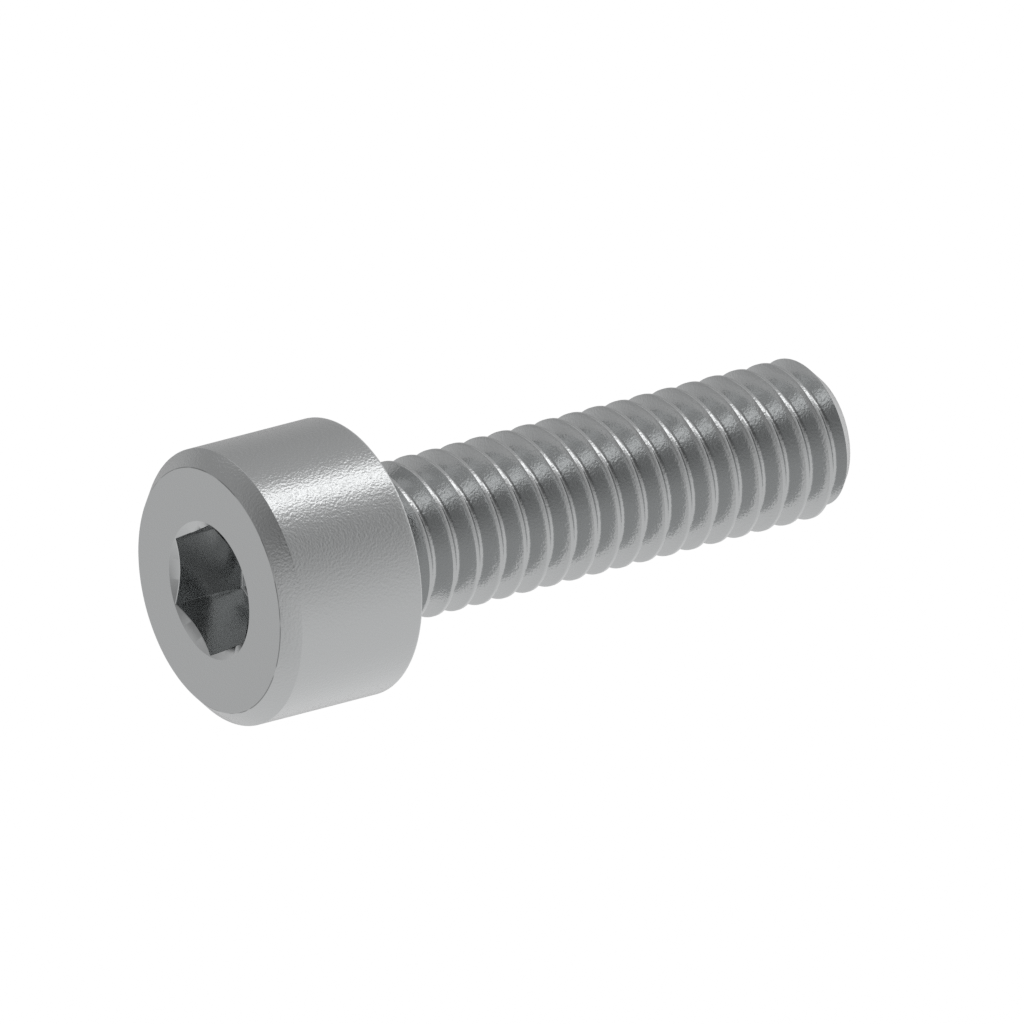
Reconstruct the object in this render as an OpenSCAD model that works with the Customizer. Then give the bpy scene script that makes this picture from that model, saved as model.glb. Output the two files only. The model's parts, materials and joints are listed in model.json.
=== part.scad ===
// Socket head bolt: one turned and rolled piece of steel with a hexagon socket.
// It stands on its head. Z is its axis, the origin is the centre of the bearing face
// under the head, the head reaches down from there and the shank reaches up to the tip.
// All lengths are in millimetres and all angles in degrees.

/* [Head] */
// Diameter of the head
head_d = 7; // [6:0.1:9]
// Height of the head
head_h = 4; // [3.4:0.1:6]
// Width of the 45 degree chamfer round the outer face of the head
head_chamfer = 0.4; // [0.1:0.05:0.7]
// Radius of the edge between the side of the head and its bearing face
rim_r = 0.1; // [0.05:0.05:0.3]

/* [Hexagon socket] */
// Width of the socket across its flats
socket_af = 3; // [2:0.1:3.6]
// Depth of the socket down to its flat floor
socket_depth = 2; // [1.2:0.1:2.6]
// Included angle of the countersink at the mouth of the socket
mouth_angle = 120; // [90:5:140]
// Clearance between the corners of the socket and the edge of the countersink
mouth_margin = 0.02; // [0.01:0.01:0.1]
// Diameter of the shallow cone that the punch leaves in the floor of the socket
floor_cone_d = 2.2; // [1:0.1:2.6]
// Included angle of that cone
floor_cone_angle = 140; // [120:5:160]

/* [Shank and thread] */
// Length from the bearing face to the tip
shank_l = 14; // [8:1:20]
// Major diameter of the thread
thread_d = 4; // [3.6:0.1:4.6]
// Pitch of the thread
thread_pitch = 0.7; // [0.5:0.05:0.8]
// Radius of the fillet under the head
fillet_r = 0.2; // [0.1:0.05:0.3]
// Plain length under the head, before the thread begins
neck_l = 0.3; // [0.3:0.05:1]
// Length over which the thread rises to its full depth
runout_l = 0.5; // [0.3:0.05:1]
// How far the flat at the tip lies inside the root of the thread
tip_inset = 0.02; // [0.01:0.01:0.1]

/* [Hidden] */

// Roundness of the turned surfaces
round_fn = 96;
// Facets of the helical surface, which all its turns share
thread_facets = 9000;
// How far a cut runs past the surface that it opens
cut = 0.5;

head_r = head_d / 2;
socket_corner_r = socket_af / 2 / cos(30);
mouth_r = socket_corner_r + mouth_margin;

// ISO metric thread form: a 60 degree vee with a flat crest an eighth of a pitch wide
thread_r = thread_d / 2;
thread_depth = 0.6134 * thread_pitch;
minor_r = thread_r - thread_depth;
crest_w = thread_pitch / 8;
flank_w = thread_depth * tan(30);

// The blank that the thread is rolled on has the pitch diameter, and the neck is just wider
blank_r = thread_r - 0.3248 * thread_pitch;
neck_r = blank_r + 0.03;
tip_r = minor_r - tip_inset;

// The helical surface starts inside the head and ends past the tip, where it is trimmed
lead_turns = 1;
turns = lead_turns + ceil(shank_l / thread_pitch) + 2;
last_point = 3;
steps = floor(thread_facets / (2 * (last_point + 1) * turns));
rows = steps * turns;

// One tooth, as [distance along the axis from the middle of its crest, radius]
tooth = [
    [-crest_w / 2, thread_r],
    [crest_w / 2, thread_r],
    [crest_w / 2 + flank_w, minor_r],
    [thread_pitch - crest_w / 2 - flank_w, minor_r]
];

// Share of its full depth that the thread has reached at height z
function rise(z) = min(1, max(0, (z - neck_l) / runout_l));

// Point of the tooth at one row of the helix; the crest passes z = 0 above the X axis
function helix_point(row, point) =
    let (
        angle = 360 * row / steps,
        z = thread_pitch * (row / steps - lead_turns) + tooth[point][0],
        r = blank_r + (tooth[point][1] - blank_r) * rise(z)
    )
    [r * cos(angle), r * sin(angle), z];

// Place of a point in the list, row after row
function index(row, point) = row * (last_point + 1) + point;

// The two triangles between two rows, from one line along the helix to the next
function quad(a, b, c, d) = [[a, b, c], [a, c, d]];

// Triangles from one centre to each edge of a closed loop of points
function fan(centre, loop) =
    [for (i = [0 : len(loop) - 1]) [centre, loop[i], loop[(i + 1) % len(loop)]]];

module helical_core() {
    helix = [for (row = [0 : rows]) for (point = [0 : last_point]) helix_point(row, point)];
    low_centre = len(helix);
    high_centre = low_centre + 1;
    centres = [[0, 0, helix[0][2]], [0, 0, helix[low_centre - 1][2]]];
    tooth_faces = [
        for (row = [0 : rows - 1]) for (point = [0 : last_point - 1])
            each quad(index(row, point), index(row, point + 1),
                      index(row + 1, point + 1), index(row + 1, point))
    ];
    root_faces = [
        for (row = [0 : rows - steps - 1])
            each quad(index(row, last_point), index(row + steps, 0),
                      index(row + steps + 1, 0), index(row + 1, last_point))
    ];
    low_loop = concat(
        [for (row = [0 : steps]) index(row, 0)],
        [for (point = [last_point : -1 : 1]) index(0, point)]
    );
    high_loop = concat(
        [for (point = [0 : last_point]) index(rows, point)],
        [for (row = [rows - 1 : -1 : rows - steps]) index(row, last_point)]
    );
    polyhedron(
        points = concat(helix, centres),
        faces = concat(tooth_faces, root_faces, fan(low_centre, low_loop), fan(high_centre, high_loop)),
        convexity = 10
    );
}

// Everything up to the tip and its 45 degree chamfer
module tip_envelope() {
    wide_r = thread_r + cut;
    rotate_extrude($fn = round_fn)
        polygon([
            [0, -thread_pitch * (lead_turns + 1)],
            [wide_r, -thread_pitch * (lead_turns + 1)],
            [wide_r, shank_l + tip_r - wide_r],
            [tip_r, shank_l],
            [0, shank_l]
        ]);
}

module threaded_shank() {
    intersection() {
        helical_core();
        tip_envelope();
    }
}

// Half section of the head with its chamfer, its rounded rim, the fillet and the plain neck
module head_section() {
    polygon([
        [0, -head_h],
        [head_r - head_chamfer, -head_h],
        [head_r, -head_h + head_chamfer],
        [head_r, -rim_r],
        [head_r - rim_r, 0],
        [0, 0]
    ]);
    translate([head_r - rim_r, -rim_r])
        circle(r = rim_r, $fn = round_fn);
    difference() {
        translate([0, -rim_r])
            square([neck_r + fillet_r, rim_r + fillet_r]);
        translate([neck_r + fillet_r, fillet_r])
            circle(r = fillet_r, $fn = round_fn);
    }
    translate([0, -rim_r])
        square([neck_r, rim_r + neck_l]);
}

module head() {
    rotate_extrude($fn = round_fn)
        head_section();
}

// The space of the socket: the hexagon, the countersink at its mouth and the cone in its floor
module socket() {
    mouth_slope = tan(mouth_angle / 2);
    floor_slope = tan(floor_cone_angle / 2);
    translate([0, 0, -head_h - cut])
        cylinder(r = socket_corner_r, h = socket_depth + cut, $fn = 6);
    translate([0, 0, -head_h - cut])
        cylinder(r1 = mouth_r + cut * mouth_slope, r2 = 0, h = cut + mouth_r / mouth_slope, $fn = round_fn);
    translate([0, 0, -head_h + socket_depth])
        cylinder(r1 = floor_cone_d / 2, r2 = 0, h = floor_cone_d / 2 / floor_slope, $fn = round_fn);
}

module bolt() {
    color("darkgray")
        difference() {
            union() {
                head();
                threaded_shank();
            }
            socket();
        }
}

bolt();
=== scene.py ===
import json
import math
from functools import partial

import bmesh
import bpy
from mathutils import Matrix, Vector


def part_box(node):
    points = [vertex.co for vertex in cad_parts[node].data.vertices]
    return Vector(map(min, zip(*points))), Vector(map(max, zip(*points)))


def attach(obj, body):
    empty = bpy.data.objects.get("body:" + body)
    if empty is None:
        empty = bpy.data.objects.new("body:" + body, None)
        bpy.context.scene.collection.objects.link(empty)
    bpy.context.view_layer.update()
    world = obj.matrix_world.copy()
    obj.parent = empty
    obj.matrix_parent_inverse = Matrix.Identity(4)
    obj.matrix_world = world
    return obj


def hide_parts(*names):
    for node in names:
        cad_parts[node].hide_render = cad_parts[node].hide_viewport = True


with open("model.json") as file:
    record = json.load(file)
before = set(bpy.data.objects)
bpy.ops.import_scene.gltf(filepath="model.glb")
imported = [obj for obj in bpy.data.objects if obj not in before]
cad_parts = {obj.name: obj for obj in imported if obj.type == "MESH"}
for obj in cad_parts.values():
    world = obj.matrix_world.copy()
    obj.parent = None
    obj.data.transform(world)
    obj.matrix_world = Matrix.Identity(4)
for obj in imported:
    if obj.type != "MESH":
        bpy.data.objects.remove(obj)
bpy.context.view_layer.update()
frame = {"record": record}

# Lengths are in millimetres here and become metres in the mesh
MM = 0.001

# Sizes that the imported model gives
low_corner, high_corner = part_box("bolt")
HEAD_R = high_corner.x / MM
HEAD_H = -low_corner.z / MM
SHANK_L = high_corner.z / MM
mounts = {mount["name"]: mount for mount in frame["record"]["mounts"]}
THREAD_R = mounts["thread"]["dims"]["r_mm"]
SOCKET_DEPTH = mounts["hex_socket"]["dims"]["length_mm"]

# Head
HEAD_CHAMFER = 0.4
FACE_R = HEAD_R - HEAD_CHAMFER
RIM_R = 0.1
EDGE_R = 0.015
FILLET_R = 0.2
NECK_L = 0.3

# Hexagon socket
SOCKET_AF = 3.0
SOCKET_CORNER_R = 0.01
CORNER_CENTRE_R = (SOCKET_AF / 2 - SOCKET_CORNER_R) / math.cos(math.pi / 6)
MOUTH_MARGIN = 0.02
MOUTH_R = SOCKET_AF / 2 / math.cos(math.pi / 6) + MOUTH_MARGIN
MOUTH_SLOPE = math.tan(math.radians(60))
MOUTH_EDGE = 0.012
FLOOR_FILLET_R = 0.08
FLOOR_CONE_R = 1.1
FLOOR_CONE_SLOPE = math.tan(math.radians(70))

# Thread, of metric form: 60 degree flanks, a flat crest and a blank of the pitch diameter
PITCH = 0.7
THREAD_DEPTH = 0.6134 * PITCH
MINOR_R = THREAD_R - THREAD_DEPTH
CREST_W = PITCH / 8
FLANK_W = THREAD_DEPTH * math.tan(math.radians(30))
RUNOUT_L = 0.5
BLANK_R = THREAD_R - 0.3248 * PITCH
NECK_R = BLANK_R + 0.03
TIP_R = MINOR_R - 0.02
CREST_EDGE_R = 0.012
ROOT_EDGE_R = 0.09
# The photo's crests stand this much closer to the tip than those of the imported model
THREAD_SHIFT = 0.012
TIP_EDGE_R = 0.03
# Width of the soft shading beside the edges of a tooth, and by its crest at the head and at the tip
SOFT_W = 0.008
SOFT_CREST = (0.01, 0.16)

# Mesh density
CORNER_STEPS = 2
FLAT_STEPS = 14
CREST_STEPS = 2
ROOT_STEPS = 4
FLOOR_FILLET_STEPS = 4
EDGE_STEPS = 3
FILLET_STEPS = 6
TURN_STEPS = 144
FLOOR_RINGS = (0.05, 0.5, 0.96, 1.04)
# The helix starts inside the head and runs past the tip, where the envelope cuts it
LEAD_TURNS = 1
SPARE_TURNS = 2
CUT = 0.5
# Edges between the faces of the other parts look sharp from this angle on
SHARP_ANGLE = math.radians(28)
THREAD_SOURCE = 1

# Steel
STEEL_COLOUR = (0.485, 0.494, 0.496)
# Lighter colour for inside the socket: painted light, which brightens the shade in that recess
SOCKET_PAINTED_LIGHT_COLOUR = (0.53, 0.54, 0.542)
STEEL_ROUGHNESS = 0.16
GRAIN_SIZE = 0.064
GRAIN_HEIGHT = 0.0105
GRAIN_DETAIL = 2.0
# Share of the grain on the parts that punching, rolling and turning leave smoother
CALM_PARTS = {"mouth": 0.15, "thread": 0.8, "face": 0.3}
# The painted light that brightens the socket begins this far under its countersink
SOCKET_PAINTED_LIGHT_EDGE = 0.01
# Painted shade: a fine dark line, in dashes, where the chamfer meets the face, as a dark reflection painted
# on that edge
LINE_W = 0.022
LINE_DASH = 0.55
LINE_DETAIL = 1.0
LINE_ENDS = (0.4, 0.55)
LINE_SHADE = 0.5

# Camera: the photo is taken in parallel view, with the head towards the camera
AXIS_TO_SIGHT = math.radians(58.69)
AXIS_SLOPE = math.radians(14.54)
NEAR_AZIMUTH = math.radians(243.6)
VIEW_WIDTH = 25.17
CAMERA_DISTANCE = 100.0
CLIP_NEAR = 1.0
CLIP_FAR = 10000.0

# Studio, in the frame of the photo's room, in which the bolt lies on its side.
# Directions are given as (up, front, along the axis to the tip), and a level of 1 is white.
# Up is 63.5 degrees away from the side of the bolt that faces the camera.
ROOM_UP = NEAR_AZIMUTH - math.radians(63.5)
ROOM_FRONT = ROOM_UP + math.pi / 2
WALLS = [
    ((1, 0, 0), 0.39),
    ((-1, 0, 0), 0.88),
    ((0, -1, 0), 0.25),
    ((0, 0, 1), 1.0),
    ((0, 0, -1), 0.33),
]
WALL_FOCUS = 2.0
BACKDROP = 0.88
# The white backdrop lies below a horizon that is tilted and soft
HORIZON = (-0.49, 1.02, -0.07)
HORIZON_SOFTNESS = 0.95
# Soft lamps, as direction, level and how tightly they are gathered
SOFT_LAMPS = [
    ((-0.104, -0.914, -0.392), 0.42, 3.6),
    ((0.30, -0.32, -0.90), 0.24, 24),
    ((-0.1, -0.98, -0.12), 0.1, 30),
    ((0.90, -0.33, -0.26), 0.1, 12),
    ((0.80, -0.62, 0), 0.56, 24),
    ((0.96, -0.22, 0.12), 0.42, 26),
    ((0.92, 0.20, 0.34), 0.33, 30),
    ((-0.80, -0.30, 0.52), 0.05, 8),
    ((0.12, 0.50, -0.86), 0.12, 16),
    ((-0.65, -0.70, 0.25), 0.1, 16),
]
# Dark screens, in the same terms
SCREENS = [
    ((0.66, 0.65, -0.42), -0.18, 14),
    ((-0.1, 0.05, -0.99), -0.12, 12),
    ((0.42, -0.85, -0.28), -0.12, 16),
    ((0.58, 0.15, -0.80), -0.045, 14),
    ((-0.60, 0.43, -0.67), -0.06, 16),
    ((-0.381, -0.764, 0.52), -0.14, 40),
]
# Strip lamp overhead, along the axis, with its edges in degrees
STRIP_LEVEL = 1.61
STRIP_ACROSS = 3.6
STRIP_WIDTH = 9.0
STRIP_START = 0
STRIP_END = 74
STRIP_SOFTNESS = 10
# The strip leans: so many degrees across for each degree along, from the middle of its height
STRIP_LEAN = 0.35
STRIP_MIDDLE = 31.3

# Floor
FLOOR_COLOUR = (0.9, 0.9, 0.9)
FLOOR_ROUGHNESS = 0.9
FLOOR_LIFT = 0.15
FLOOR_HALF = 500.0
FLOOR_GAP = 0.02


def arc(before, corner, after, radius, steps):
    """Points of the arc that rounds a corner of an outline, from one tangent point to the other."""
    corner = Vector(corner)
    back = (Vector(before) - corner).normalized()
    ahead = (Vector(after) - corner).normalized()
    half = back.angle(ahead) / 2
    centre = corner + (back + ahead).normalized() * radius / math.sin(half)
    start = corner + back * radius / math.tan(half) - centre
    end = corner + ahead * radius / math.tan(half) - centre
    turn = start.angle(end)
    points = []
    for step in range(steps + 1):
        share = step / steps
        spoke = start * math.sin((1 - share) * turn) + end * math.sin(share * turn)
        points.append(tuple(centre + spoke / math.sin(turn)))
    return points


def slide(point, goal, distance):
    """The point moved that far towards a goal."""
    return tuple(Vector(point) + (Vector(goal) - Vector(point)).normalized() * distance)


def mesh_object(name, points, faces):
    """A smooth-shaded mesh object from points in millimetres."""
    mesh = bpy.data.meshes.new(name)
    mesh.from_pydata([(x * MM, y * MM, z * MM) for x, y, z in points], [], faces)
    mesh.validate()
    mesh.shade_smooth()
    piece = bpy.data.objects.new(name, mesh)
    bpy.context.scene.collection.objects.link(piece)
    return piece


def lathe(name, rings, azimuths):
    """A closed solid round the Z axis. Each ring gives (radius, height) at an azimuth."""
    points = []
    for ring in rings:
        for azimuth in azimuths:
            r, z = ring(azimuth)
            points.append((r * math.cos(azimuth), r * math.sin(azimuth), z))
    count = len(azimuths)
    faces = []
    for ring in range(len(rings) - 1):
        for side in range(count):
            a = ring * count + side
            b = ring * count + (side + 1) % count
            faces.append((a, b, b + count, a + count))
    first = len(points)
    points.append((0, 0, rings[0](0)[1]))
    points.append((0, 0, rings[-1](0)[1]))
    last_ring = (len(rings) - 1) * count
    for side in range(count):
        ahead = (side + 1) % count
        faces.append((first, ahead, side))
        faces.append((first + 1, last_ring + side, last_ring + ahead))
    return mesh_object(name, points, faces)


def circle(r, z):
    """A round ring."""
    return lambda azimuth: (r, z)


def corner_spread():
    """Half of the azimuth that the rounding of one corner of the hexagon takes up."""
    across = SOCKET_CORNER_R / 2
    return math.atan(across / (CORNER_CENTRE_R + SOCKET_CORNER_R * math.cos(math.pi / 6)))


def socket_r(azimuth):
    """Radius of the hexagon at an azimuth, with its corners slightly rounded."""
    from_corner = abs((azimuth + math.pi / 6) % (math.pi / 3) - math.pi / 6)
    if from_corner >= corner_spread():
        return SOCKET_AF / 2 / math.cos(math.pi / 6 - from_corner)
    across = CORNER_CENTRE_R * math.sin(from_corner)
    return CORNER_CENTRE_R * math.cos(from_corner) + math.sqrt(SOCKET_CORNER_R ** 2 - across ** 2)


def ring_azimuths():
    """Azimuths of the ring points: close together at the six corners, even along the flats."""
    spread = corner_spread()
    flat = math.pi / 6 - spread
    offsets = [spread * step / CORNER_STEPS for step in range(-CORNER_STEPS, CORNER_STEPS)]
    offsets += [spread + flat * step / FLAT_STEPS for step in range(2 * FLAT_STEPS)]
    return [corner * math.pi / 3 + offset for corner in range(6) for offset in offsets]


def mouth_z(azimuth, inset):
    """Height of the countersink where it lies that far outside the hexagon."""
    return -HEAD_H + (MOUTH_R - socket_r(azimuth) - inset) / MOUTH_SLOPE


def socket_rings():
    """The socket from the middle of its floor to its mouth."""
    floor_z = -HEAD_H + SOCKET_DEPTH
    rings = []
    for share in FLOOR_RINGS:
        dip = max(0, 1 - share) * FLOOR_CONE_R / FLOOR_CONE_SLOPE
        rings.append(circle(FLOOR_CONE_R * share, floor_z + dip))
    wall_foot = arc((-1, 0), (0, 0), (0, -1), FLOOR_FILLET_R, FLOOR_FILLET_STEPS)
    for inset, drop in wall_foot:
        rings.append(lambda azimuth, i=inset, d=drop: (socket_r(azimuth) + i, floor_z + d))
    rings.append(lambda azimuth: (socket_r(azimuth), mouth_z(azimuth, 0) + 2 * MOUTH_EDGE))
    rings.append(lambda azimuth: (socket_r(azimuth), mouth_z(azimuth, 0) + MOUTH_EDGE))
    rings.append(lambda azimuth: (socket_r(azimuth) + MOUTH_EDGE, mouth_z(azimuth, MOUTH_EDGE)))
    rings.append(circle(MOUTH_R, -HEAD_H))
    return rings


def head_rings():
    """The head from the mouth of the socket, over its face and side, to the neck.

    Rings close to each rounding keep the shading of the flats beside it even.
    """
    face_edge = (FACE_R, -HEAD_H)
    side_edge = (HEAD_R, -HEAD_H + HEAD_CHAMFER)
    rim = (HEAD_R, 0)
    foot = (NECK_R, 0)
    outline = [(FACE_R - 3 * EDGE_R, -HEAD_H)]
    outline += arc((0, -HEAD_H), face_edge, side_edge, EDGE_R, EDGE_STEPS)
    outline += arc(face_edge, side_edge, rim, EDGE_R, EDGE_STEPS)
    outline += [(HEAD_R, side_edge[1] + 3 * EDGE_R), (HEAD_R, -2 * RIM_R)]
    outline += arc(side_edge, rim, foot, RIM_R, FILLET_STEPS)
    outline += [(HEAD_R - 2 * RIM_R, 0), (NECK_R + FILLET_R * 1.2, 0)]
    outline += arc(rim, foot, (NECK_R, NECK_L), FILLET_R, FILLET_STEPS)
    outline += [(NECK_R, NECK_L)]
    return [circle(r, z) for r, z in outline]


def rise(z):
    """Share of its full depth that the thread has reached at a height."""
    return min(1, max(0, (z - NECK_L) / RUNOUT_L))


def tooth_outline(soft):
    """One tooth as (height from the middle of its crest, radius), up to the next tooth."""
    low_root = (-CREST_W / 2 - FLANK_W, MINOR_R)
    low_crest = (-CREST_W / 2, THREAD_R)
    high_crest = (CREST_W / 2, THREAD_R)
    high_root = (CREST_W / 2 + FLANK_W, MINOR_R)
    next_root = (PITCH - CREST_W / 2 - FLANK_W, MINOR_R)
    next_crest = (PITCH - CREST_W / 2, THREAD_R)
    low_edge = arc(low_root, low_crest, high_crest, CREST_EDGE_R, CREST_STEPS)
    high_edge = arc(low_crest, high_crest, high_root, CREST_EDGE_R, CREST_STEPS)
    high_foot = arc(high_crest, high_root, next_root, ROOT_EDGE_R, ROOT_STEPS)
    next_foot = arc(high_root, next_root, next_crest, ROOT_EDGE_R, ROOT_STEPS)
    low_flank = [slide(low_edge[0], low_root, soft)]
    high_flank = [slide(high_edge[-1], high_root, SOFT_W), slide(high_foot[0], high_crest, SOFT_W)]
    next_flank = [slide(next_foot[-1], next_crest, SOFT_W)]
    return low_flank + low_edge + high_edge + high_flank + high_foot + next_foot + next_flank


def thread_core():
    """The helical body of the shank, from inside the head to past the tip."""
    width = len(tooth_outline(SOFT_W))
    turns = LEAD_TURNS + math.ceil(SHANK_L / PITCH) + SPARE_TURNS
    rows = TURN_STEPS * turns
    points = []
    for row in range(rows + 1):
        azimuth = 2 * math.pi * row / TURN_STEPS
        climb = PITCH * (row / TURN_STEPS - LEAD_TURNS) + THREAD_SHIFT
        reach = min(1, max(0, climb / SHANK_L))
        soft = SOFT_CREST[0] + (SOFT_CREST[1] - SOFT_CREST[0]) * reach
        for offset, full_r in tooth_outline(soft):
            z = climb + offset
            r = BLANK_R + (full_r - BLANK_R) * rise(z)
            points.append((r * math.cos(azimuth), r * math.sin(azimuth), z))
    faces = []
    for row in range(rows):
        here = row * width
        for place in range(width - 1):
            a = here + place
            faces.append((a, a + width, a + width + 1, a + 1))
        if row < rows - TURN_STEPS:
            a = here + width - 1
            b = here + TURN_STEPS * width
            faces.append((a, a + width, b + width, b))
    low_loop = [row * width for row in range(TURN_STEPS + 1)]
    low_loop += [place for place in range(width - 1, 0, -1)]
    high_loop = [rows * width + place for place in range(width)]
    high_loop += [row * width + width - 1 for row in range(rows - 1, rows - TURN_STEPS - 1, -1)]
    for loop, z in ((low_loop, points[0][2]), (high_loop, points[-1][2])):
        centre = len(points)
        points.append((0, 0, z))
        for step, corner in enumerate(loop):
            faces.append((centre, loop[(step + 1) % len(loop)], corner))
    return mesh_object("thread_core", points, faces)


def tip_envelope(azimuths):
    """Everything up to the tip and its 45 degree chamfer."""
    wide_r = THREAD_R + CUT
    start = (wide_r, -PITCH * (LEAD_TURNS + 1))
    shoulder = (wide_r, SHANK_L + TIP_R - wide_r)
    edge = (TIP_R, SHANK_L)
    outline = [start, shoulder]
    outline += arc(shoulder, edge, (0, SHANK_L), TIP_EDGE_R, EDGE_STEPS)
    outline += [(TIP_R - 3 * TIP_EDGE_R, SHANK_L)]
    return lathe("tip_envelope", [circle(r, z) for r, z in outline], azimuths)


def combine(piece, other, operation):
    """Adds a Boolean between two closed meshes."""
    step = piece.modifiers.new(operation, "BOOLEAN")
    step.operation = operation
    step.object = other
    step.solver = "MANIFOLD"


def build_bolt():
    """Head, socket and threaded shank as one closed mesh."""
    azimuths = ring_azimuths()
    head = lathe("head", socket_rings() + head_rings(), azimuths)
    core = thread_core()
    envelope = tip_envelope(azimuths)
    parts = (head, core, envelope)
    # Temporary materials that tell which part each face comes from, after the Booleans
    tags = [bpy.data.materials.new("from_" + part.name) for part in parts]
    for source, part in enumerate(parts):
        for tag in tags:
            part.data.materials.append(tag)
        for face in part.data.polygons:
            face.material_index = source
    combine(core, envelope, "INTERSECT")
    combine(head, core, "UNION")
    graph = bpy.context.evaluated_depsgraph_get()
    mesh = bpy.data.meshes.new_from_object(head.evaluated_get(graph))
    for part in parts:
        bpy.data.objects.remove(part)
    mark_edges(mesh)
    for tag in tags:
        bpy.data.materials.remove(tag)
    mesh.materials.clear()
    mesh.name = "steel_bolt"
    piece = bpy.data.objects.new("steel_bolt", mesh)
    bpy.context.scene.collection.objects.link(piece)
    return piece


def mark_edges(mesh):
    """Sharp shading where the thread is cut off and at the head's hard edges, smooth along the thread."""
    shape = bmesh.new()
    shape.from_mesh(mesh)
    for edge in shape.edges:
        one, two = edge.link_faces
        if one.material_index == THREAD_SOURCE and two.material_index == THREAD_SOURCE:
            edge.smooth = True
        else:
            edge.smooth = edge.calc_face_angle() < SHARP_ANGLE
    for face in shape.faces:
        face.material_index = 0
    shape.to_mesh(mesh)
    shape.free()


def place_camera():
    """A parallel camera that looks at the middle of the bolt, with the head towards it."""
    outward = Vector((math.cos(NEAR_AZIMUTH), math.sin(NEAR_AZIMUTH), 0))
    aside = Vector((math.sin(NEAR_AZIMUTH), -math.cos(NEAR_AZIMUTH), 0))
    up_axis = Vector((0, 0, 1))
    backward = outward * math.sin(AXIS_TO_SIGHT) - up_axis * math.cos(AXIS_TO_SIGHT)
    along = up_axis * math.sin(AXIS_TO_SIGHT) + outward * math.cos(AXIS_TO_SIGHT)
    right = along * math.cos(AXIS_SLOPE) - aside * math.sin(AXIS_SLOPE)
    top = along * math.sin(AXIS_SLOPE) + aside * math.cos(AXIS_SLOPE)
    data = bpy.data.cameras.new("camera")
    data.type = "ORTHO"
    data.ortho_scale = VIEW_WIDTH * MM
    data.clip_start = CLIP_NEAR * MM
    data.clip_end = CLIP_FAR * MM
    camera = bpy.data.objects.new("camera", data)
    middle = Vector((0, 0, (SHANK_L - HEAD_H) / 2 * MM))
    turned = Matrix((right, top, backward)).transposed()
    camera.matrix_world = Matrix.Translation(middle + backward * CAMERA_DISTANCE * MM) @ turned.to_4x4()
    bpy.context.scene.collection.objects.link(camera)
    bpy.context.scene.camera = camera


def node(tree, kind, **values):
    """A new node with its settings and inputs, which are values or outputs of other nodes."""
    made = tree.nodes.new(kind)
    for name, value in values.items():
        if hasattr(made, name):
            setattr(made, name, value)
        else:
            feed(tree, made.inputs[name], value)
    return made


def feed(tree, socket, value):
    """Sets an input to a value, or links it to the output of a node."""
    if isinstance(value, bpy.types.NodeSocket):
        tree.links.new(value, socket)
    else:
        socket.default_value = value


def math_node(tree, operation, first, second=0.0):
    """A sum, product or other operation on two numbers or outputs of nodes."""
    made = node(tree, "ShaderNodeMath", operation=operation)
    feed(tree, made.inputs[0], first)
    feed(tree, made.inputs[1], second)
    return made.outputs[0]


def smooth_step(tree, value, low, high):
    """A soft edge from 0 to 1 between two values."""
    made = node(tree, "ShaderNodeMapRange", interpolation_type="SMOOTHSTEP", Value=value)
    feed(tree, made.inputs["From Min"], low)
    feed(tree, made.inputs["From Max"], high)
    return made.outputs["Result"]


def noise(tree, place, size, detail):
    """Noise of a grain size in millimetres."""
    return node(tree, "ShaderNodeTexNoise", Vector=place, Scale=1 / (size * MM), Detail=detail).outputs["Fac"]


def surface_masks(tree, place):
    """Masks of the socket's mouth, the socket below it where light is painted, the face, the painted dark
    line round it and the thread.
    """
    compute = partial(math_node, tree)
    x, y, z = node(tree, "ShaderNodeSeparateXYZ", Vector=place).outputs
    radius = compute("SQRT", compute("ADD", compute("MULTIPLY", x, x), compute("MULTIPLY", y, y)))
    in_head = compute("LESS_THAN", z, (SOCKET_DEPTH - HEAD_H) / 2 * MM)
    mouth = compute("MULTIPLY", in_head, compute("LESS_THAN", radius, MOUTH_R * MM))
    cone_r = compute("ADD", compute("MULTIPLY", compute("ADD", z, HEAD_H * MM), MOUTH_SLOPE), radius)
    below_mouth = compute("GREATER_THAN", cone_r, (MOUTH_R + SOCKET_PAINTED_LIGHT_EDGE) * MM)
    at_face = compute("LESS_THAN", z, (LINE_W - HEAD_H) * MM)
    from_edge = compute("ABSOLUTE", compute("SUBTRACT", radius, FACE_R * MM))
    return {
        "mouth": mouth,
        # Inside the socket, under its mouth: where the lighter colour paints light
        "socket": compute("MULTIPLY", mouth, below_mouth),
        "face": compute("MULTIPLY", at_face, compute("SUBTRACT", 1.0, mouth)),
        # The ring round the face where the dark line of painted shade goes
        "line": compute("MULTIPLY", at_face, compute("LESS_THAN", from_edge, LINE_W / 2 * MM)),
        "thread": compute("GREATER_THAN", z, FILLET_R * MM),
    }


def steel_colour(tree, place, masks):
    """Base colour: painted light makes it a little brighter in the socket, and painted shade makes it dark in
    the dashes of the line round the face.
    """
    compute = partial(math_node, tree)
    # Painted shade: dark dashes along the edge of the face
    dashes = smooth_step(tree, noise(tree, place, LINE_DASH, LINE_DETAIL), *LINE_ENDS)
    line = compute("MULTIPLY", masks["line"], dashes)
    shade = compute("SUBTRACT", 1.0, compute("MULTIPLY", line, LINE_SHADE))
    # Painted light: the lighter colour inside the socket
    steel_and_painted_light = node(tree, "ShaderNodeMix", data_type="RGBA", Factor=masks["socket"])
    feed(tree, steel_and_painted_light.inputs[6], (*STEEL_COLOUR, 1))
    feed(tree, steel_and_painted_light.inputs[7], (*SOCKET_PAINTED_LIGHT_COLOUR, 1))
    dimmed = node(tree, "ShaderNodeVectorMath", operation="SCALE", Vector=steel_and_painted_light.outputs[2], Scale=shade)
    return dimmed.outputs["Vector"]


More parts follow.
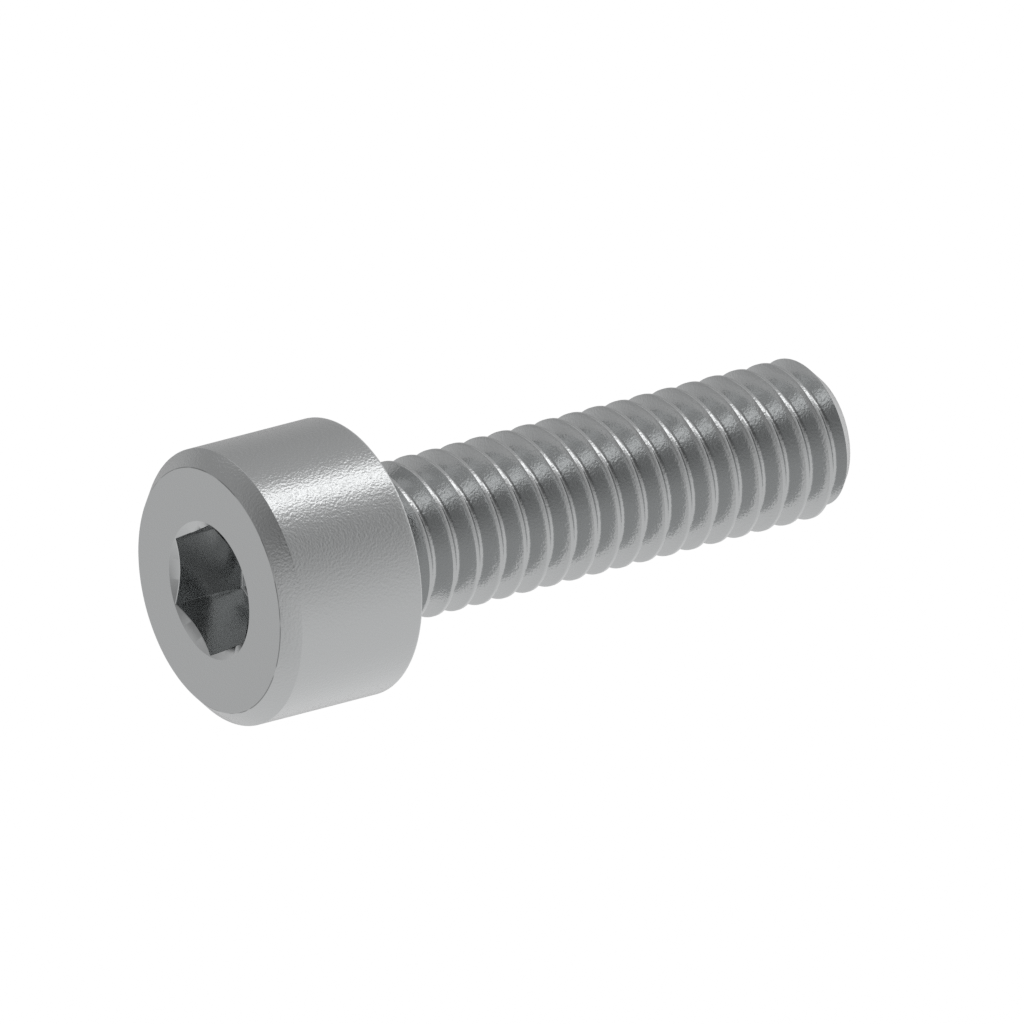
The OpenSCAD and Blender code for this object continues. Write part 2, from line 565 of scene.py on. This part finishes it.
def steel_grain(tree, place, masks):
    """Bumps of a blasted surface, calmer on some parts."""
    strength = 1.0
    for part, share in CALM_PARTS.items():
        calm = math_node(tree, "MULTIPLY", masks[part], 1 - share)
        strength = math_node(tree, "SUBTRACT", strength, calm)
    height = noise(tree, place, GRAIN_SIZE, GRAIN_DETAIL)
    bump = node(tree, "ShaderNodeBump", Distance=GRAIN_HEIGHT * MM, Strength=strength, Height=height)
    return bump.outputs["Normal"]


def steel():
    """Satin steel with the fine grain of a blasted surface."""
    material = bpy.data.materials.new("steel")
    material.use_nodes = True
    tree = material.node_tree
    place = node(tree, "ShaderNodeTexCoord").outputs["Object"]
    masks = surface_masks(tree, place)
    inputs = tree.nodes["Principled BSDF"].inputs
    inputs["Metallic"].default_value = 1
    inputs["Roughness"].default_value = STEEL_ROUGHNESS
    feed(tree, inputs["Base Color"], steel_colour(tree, place, masks))
    feed(tree, inputs["Normal"], steel_grain(tree, place, masks))
    return material


def room(direction):
    """A direction given as up, front and axis, in the bolt's frame."""
    up, front, axis = direction
    return (
        up * math.cos(ROOM_UP) + front * math.cos(ROOM_FRONT),
        up * math.sin(ROOM_UP) + front * math.sin(ROOM_FRONT),
        axis,
    )


def share_along(tree, view, direction):
    """How far a direction of the room agrees with the direction looked in."""
    made = node(tree, "ShaderNodeVectorMath", operation="DOT_PRODUCT")
    feed(tree, made.inputs[0], view)
    feed(tree, made.inputs[1], room(direction))
    return made.outputs["Value"]


def strip_lamp(tree, view):
    """Level of the strip lamp in the direction looked in."""
    compute = partial(math_node, tree)
    up = share_along(tree, view, (1, 0, 0))
    front = share_along(tree, view, (0, 1, 0))
    along = compute("ARCSINE", share_along(tree, view, (0, 0, 1)))
    across = compute("ADD", compute("ARCTAN2", front, up), compute("MULTIPLY", along, STRIP_LEAN))
    middle = math.radians(STRIP_ACROSS + STRIP_LEAN * STRIP_MIDDLE)
    share = compute("DIVIDE", compute("SUBTRACT", across, middle), math.radians(STRIP_WIDTH))
    profile = compute("EXPONENT", compute("MULTIPLY", compute("MULTIPLY", share, share), -1.0))
    start = [math.radians(STRIP_START + side * STRIP_SOFTNESS) for side in (-1, 1)]
    end = [math.radians(STRIP_END + side * STRIP_SOFTNESS) for side in (1, -1)]
    window = compute("MULTIPLY", smooth_step(tree, along, *start), smooth_step(tree, along, *end))
    return compute("MULTIPLY", compute("MULTIPLY", profile, window), STRIP_LEVEL)


def soft_lamps(tree, view, lamps):
    """Sum of the levels of some soft lamps in the direction looked in."""
    level = 0.0
    for direction, strength, focus in lamps:
        share = math_node(tree, "MAXIMUM", share_along(tree, view, direction), 0.0)
        light = math_node(tree, "MULTIPLY", math_node(tree, "POWER", share, focus), strength)
        level = math_node(tree, "ADD", light, level)
    return level


def backdrop(tree, view):
    """Share of the white backdrop in the direction looked in: all of it well below the horizon."""
    level, front, axis = HORIZON
    height = share_along(tree, view, (-1, front, axis))
    return smooth_step(tree, height, -level - HORIZON_SOFTNESS, -level + HORIZON_SOFTNESS)


def studio():
    """A grey room with lamps overhead and a white backdrop below. The camera itself sees white all round."""
    world = bpy.data.worlds.new("studio")
    bpy.context.scene.world = world
    world.use_nodes = True
    tree = world.node_tree
    compute = partial(math_node, tree)
    view = node(tree, "ShaderNodeTexCoord").outputs["Generated"]
    walls = soft_lamps(tree, view, [(direction, level, WALL_FOCUS) for direction, level in WALLS])
    lamps = compute("ADD", strip_lamp(tree, view), soft_lamps(tree, view, SOFT_LAMPS + SCREENS))
    below = backdrop(tree, view)
    grey = compute("MULTIPLY", walls, compute("SUBTRACT", 1.0, below))
    white = compute("MULTIPLY", below, BACKDROP)
    surroundings = compute("ADD", compute("ADD", grey, white), lamps)
    mix = node(tree, "ShaderNodeMix", Factor=node(tree, "ShaderNodeLightPath").outputs["Is Camera Ray"])
    feed(tree, mix.inputs[2], surroundings)
    feed(tree, mix.inputs[3], 1)
    feed(tree, tree.nodes["Background"].inputs["Color"], mix.outputs[0])


def floor_paint():
    """Pale matt paint that is clear from below."""
    material = bpy.data.materials.new("floor")
    material.use_nodes = True
    tree = material.node_tree
    shader = tree.nodes["Principled BSDF"]
    shader.inputs["Base Color"].default_value = (*FLOOR_COLOUR, 1)
    shader.inputs["Roughness"].default_value = FLOOR_ROUGHNESS
    shader.inputs["Specular IOR Level"].default_value = 0
    shader.inputs["Emission Color"].default_value = (1, 1, 1, 1)
    shader.inputs["Emission Strength"].default_value = FLOOR_LIFT
    mix = node(tree, "ShaderNodeMixShader")
    feed(tree, mix.inputs[0], node(tree, "ShaderNodeNewGeometry").outputs["Backfacing"])
    feed(tree, mix.inputs[1], shader.outputs[0])
    feed(tree, mix.inputs[2], node(tree, "ShaderNodeBsdfTransparent").outputs[0])
    feed(tree, tree.nodes["Material Output"].inputs["Surface"], mix.outputs[0])
    return material


def floor():
    """A wide pale floor under the head, seen only from above."""
    z = -HEAD_H - FLOOR_GAP
    signs = ((-1, -1), (1, -1), (1, 1), (-1, 1))
    plane = mesh_object("floor", [(x * FLOOR_HALF, y * FLOOR_HALF, z) for x, y in signs], [(0, 1, 2, 3)])
    plane.visible_diffuse = False
    plane.visible_glossy = False
    plane.visible_transmission = False
    plane.visible_shadow = False
    plane.data.materials.append(floor_paint())


bpy.context.scene.view_settings.view_transform = "Standard"
# The denoiser would wipe out the grain of the steel
bpy.context.scene.cycles.use_denoising = False
bolt = build_bolt()
bolt.data.materials.append(steel())
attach(bolt, "root")
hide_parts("bolt")
place_camera()
studio()
floor()
